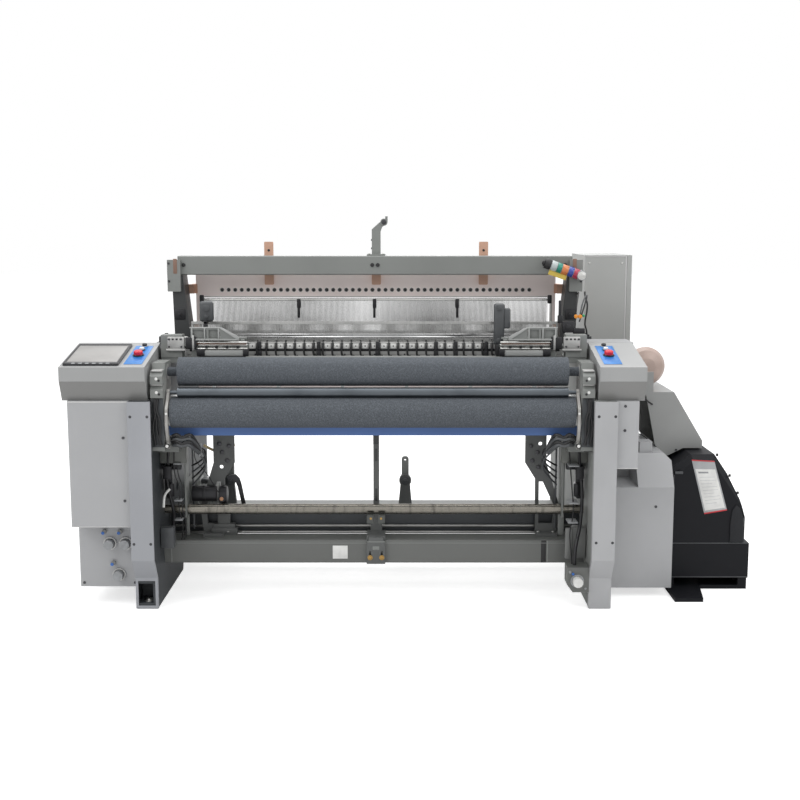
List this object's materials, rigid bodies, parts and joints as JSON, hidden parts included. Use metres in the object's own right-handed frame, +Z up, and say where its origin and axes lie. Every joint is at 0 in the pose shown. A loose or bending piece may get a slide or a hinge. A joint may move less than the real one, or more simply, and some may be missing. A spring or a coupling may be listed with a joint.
{
  "type": "power loom",
  "caption": "Air-jet power loom with ribbed side castings, overhead girder, heald frames, sley with reed, rollers, sloping control consoles, cabinet and hooded drive unit.",
  "frame": {"origin": "on the floor, in the middle of the four anchor holes of the feet", "axes": "+X to the right seen from the front, the front faces -Y, +Z up"},
  "size_m": [3.118, 1.51, 1.752],
  "materials": {
    "casting_paint": "semi-gloss grey-green paint",
    "cover_paint": "light warm grey powder coat",
    "dark_grey_paint": "semi-gloss grey paint",
    "girder_paint": "satin grey paint",
    "charcoal_paint": "satin charcoal paint",
    "black_paint": "satin black paint",
    "cabinet_paint": "textured light grey powder coat",
    "steel": "ground steel",
    "reed_steel": "fine steel dents",
    "roller_cover": "dark blue-grey gripping cover",
    "press_steel": "slate blue steel",
    "blue_paint": "blue paint",
    "cloth_roller_steel": "bright rolled steel",
    "aluminium": "satin aluminium",
    "warm_aluminium": "cast warm aluminium",
    "heald_rail": "beige-pink anodised aluminium",
    "phenolic": "brown phenolic laminate",
    "black_plastic": "matte black",
    "grey_plastic": "satin grey",
    "screen_plastic": "dark glossy",
    "red_plastic": "glossy red",
    "white_plastic": "glossy white",
    "disc_plastic": "beige moulded plastic",
    "lens_plastic": "tinted lenses"
  },
  "bodies": {
    "frame": {"left_side_frame": "casting_paint", "right_side_frame": "casting_paint", "tie_beams": "dark_grey_paint", "girder_columns": "charcoal_paint", "top_girder": "girder_paint", "harness_guides": "phenolic", "left_post_cover": "cover_paint", "right_post_cover": "cover_paint", "left_upper_cover": "cover_paint", "left_lower_panel": "cover_paint", "right_side_panel": "cover_paint", "right_lower_cover": "cover_paint", "right_upper_cover": "cover_paint", "right_top_cover": "cover_paint", "left_console": "cover_paint", "right_console": "cover_paint", "touch_screen": "screen_plastic", "roller_brackets": "dark_grey_paint", "guide_bar": "blue_paint", "lever_pedestals": "dark_grey_paint", "shaft_brackets": "dark_grey_paint", "hoses": "black_plastic", "temples": "warm_aluminium", "drop_wire_device": "steel", "let_off_drive": "dark_grey_paint", "right_air_box": "cover_paint", "weft_feeder": "disc_plastic", "electric_cabinet": "cabinet_paint", "motor_cover": "black_paint", "motor_base": "black_paint", "main_motor": "charcoal_paint"},
    "take_up": {"take_up_roller": "roller_cover"},
    "guide": {"guide_roller": "roller_cover"},
    "press_levers": {"press_arms": "warm_aluminium"},
    "press": {"press_roller": "press_steel"},
    "cloth": {"cloth_roller": "cloth_roller_steel"},
    "back_rest": {"back_rest_roller": "steel"},
    "sley": {"sley_shaft": "steel", "sley_bar": "aluminium", "reed": "reed_steel", "sub_nozzles": "black_plastic", "main_nozzle": "aluminium"},
    "harness_front": {"heald_frames_front": "heald_rail"},
    "harness_rear": {"heald_frames_rear": "heald_rail"},
    "left_lever": {"lift_lever_left": "casting_paint"},
    "right_lever": {"lift_lever_right": "casting_paint"},
    "lamp": {"signal_lamp": "lens_plastic"},
    "door": {"cabinet_door": "cabinet_paint"},
    "crank": {"crank_pulley": "steel"},
    "rotor": {"motor_pulley": "steel"},
    "left_estop": {"estop_left": "red_plastic"},
    "right_estop": {"estop_right": "red_plastic"},
    "left_start": {"start_button_left": "white_plastic"},
    "right_start": {"start_button_right": "white_plastic"},
    "left_stop": {"stop_button_left": "black_plastic"},
    "right_stop": {"stop_button_right": "black_plastic"},
    "knob_1": {"regulator_knob_1": "grey_plastic"},
    "knob_2": {"regulator_knob_2": "grey_plastic"},
    "knob_3": {"regulator_knob_3": "grey_plastic"},
    "knob_right": {"right_regulator_knob": "white_plastic"}
  },
  "joints": [
    {"name": "take_up_spin", "type": "hinge", "parent": "frame", "child": "take_up", "pos_m": [0, -0.645, 0.887], "axis": [1, 0, 0], "continuous": true},
    {"name": "guide_spin", "type": "hinge", "parent": "frame", "child": "guide", "pos_m": [0, -0.595, 1.063], "axis": [1, 0, 0], "continuous": true},
    {"name": "press_lift", "type": "hinge", "parent": "frame", "child": "press_levers", "pos_m": [0, -0.685, 0.748], "axis": [1, 0, 0], "range_deg": [0, 18]},
    {"name": "press_spin", "type": "hinge", "parent": "press_levers", "child": "press", "pos_m": [0, -0.652, 0.97753], "axis": [1, 0, 0], "continuous": true},
    {"name": "cloth_spin", "type": "hinge", "parent": "frame", "child": "cloth", "pos_m": [0, -0.46, 0.405], "axis": [1, 0, 0], "continuous": true},
    {"name": "rest_spin", "type": "hinge", "parent": "frame", "child": "back_rest", "pos_m": [0, 0.67, 1.085], "axis": [1, 0, 0], "continuous": true},
    {"name": "sley_rock", "type": "hinge", "parent": "frame", "child": "sley", "pos_m": [0, -0.33, 0.905], "axis": [1, 0, 0], "range_deg": [-8, 10]},
    {"name": "harness_front_lift", "type": "slide", "parent": "frame", "child": "harness_front", "axis": [0, 0, 1], "range_m": [-0.03, 0.03]},
    {"name": "harness_rear_lift", "type": "slide", "parent": "frame", "child": "harness_rear", "axis": [0, 0, 1], "range_m": [-0.03, 0.03]},
    {"name": "left_lever_rock", "type": "hinge", "parent": "frame", "child": "left_lever", "pos_m": [-0.733, 0.015, 0.447], "axis": [0, 1, 0], "range_deg": [-15, 15]},
    {"name": "right_lever_rock", "type": "hinge", "parent": "frame", "child": "right_lever", "pos_m": [0.145, 0.015, 0.447], "axis": [0, 1, 0], "range_deg": [-15, 15]},
    {"name": "lamp_swivel", "type": "hinge", "parent": "frame", "child": "lamp", "pos_m": [0.975, -0.21, 1.474], "axis": [0, 1, 0], "range_deg": [0, 71]},
    {"name": "door_hinge", "type": "hinge", "parent": "frame", "child": "door", "pos_m": [1.289, 0.7285, 0.84], "axis": [0, 0, 1], "range_deg": [0, 110]},
    {"name": "crank_spin", "type": "hinge", "parent": "frame", "child": "crank", "pos_m": [1.2, -0.16, 0.45], "axis": [1, 0, 0], "continuous": true},
    {"name": "motor_spin", "type": "hinge", "parent": "frame", "child": "rotor", "pos_m": [1.43, -0.16, 0.19], "axis": [1, 0, 0], "continuous": true},
    {"name": "left_estop_press", "type": "slide", "parent": "frame", "child": "left_estop", "axis": [0, 0.1987, -0.9801], "range_m": [0, 0.005], "stiffness_N_per_m": 800, "springref_m": -0.002},
    {"name": "left_start_press", "type": "slide", "parent": "frame", "child": "left_start", "axis": [0, 0.1987, -0.9801], "range_m": [0, 0.003], "stiffness_N_per_m": 400, "springref_m": -0.001},
    {"name": "left_stop_press", "type": "slide", "parent": "frame", "child": "left_stop", "axis": [0, 0.1987, -0.9801], "range_m": [0, 0.003], "stiffness_N_per_m": 400, "springref_m": -0.001},
    {"name": "right_estop_press", "type": "slide", "parent": "frame", "child": "right_estop", "axis": [0, 0.1987, -0.9801], "range_m": [0, 0.005], "stiffness_N_per_m": 800, "springref_m": -0.002},
    {"name": "right_start_press", "type": "slide", "parent": "frame", "child": "right_start", "axis": [0, 0.1987, -0.9801], "range_m": [0, 0.003], "stiffness_N_per_m": 400, "springref_m": -0.001},
    {"name": "right_stop_press", "type": "slide", "parent": "frame", "child": "right_stop", "axis": [0, 0.1987, -0.9801], "range_m": [0, 0.003], "stiffness_N_per_m": 400, "springref_m": -0.001},
    {"name": "knob_1_turn", "type": "hinge", "parent": "frame", "child": "knob_1", "pos_m": [-1.187, -0.65, 0.29], "axis": [0, 1, 0], "range_deg": [-720, 720]},
    {"name": "knob_2_turn", "type": "hinge", "parent": "frame", "child": "knob_2", "pos_m": [-1.116, -0.65, 0.29], "axis": [0, 1, 0], "range_deg": [-720, 720]},
    {"name": "knob_3_turn", "type": "hinge", "parent": "frame", "child": "knob_3", "pos_m": [-1.15, -0.65, 0.146], "axis": [0, 1, 0], "range_deg": [-720, 720]},
    {"name": "knob_right_turn", "type": "hinge", "parent": "frame", "child": "knob_right", "pos_m": [0.912, -0.71, 0.132], "axis": [0, 1, 0], "range_deg": [-720, 720]}
  ],
  "couplings": [
    {"joint": "press_spin", "follows": "take_up_spin", "ratio": -3.1136},
    {"joint": "harness_rear_lift", "follows": "harness_front_lift", "ratio": -1},
    {"joint": "right_lever_rock", "follows": "left_lever_rock", "ratio": 1},
    {"joint": "motor_spin", "follows": "crank_spin", "ratio": 2.0192}
  ]
}
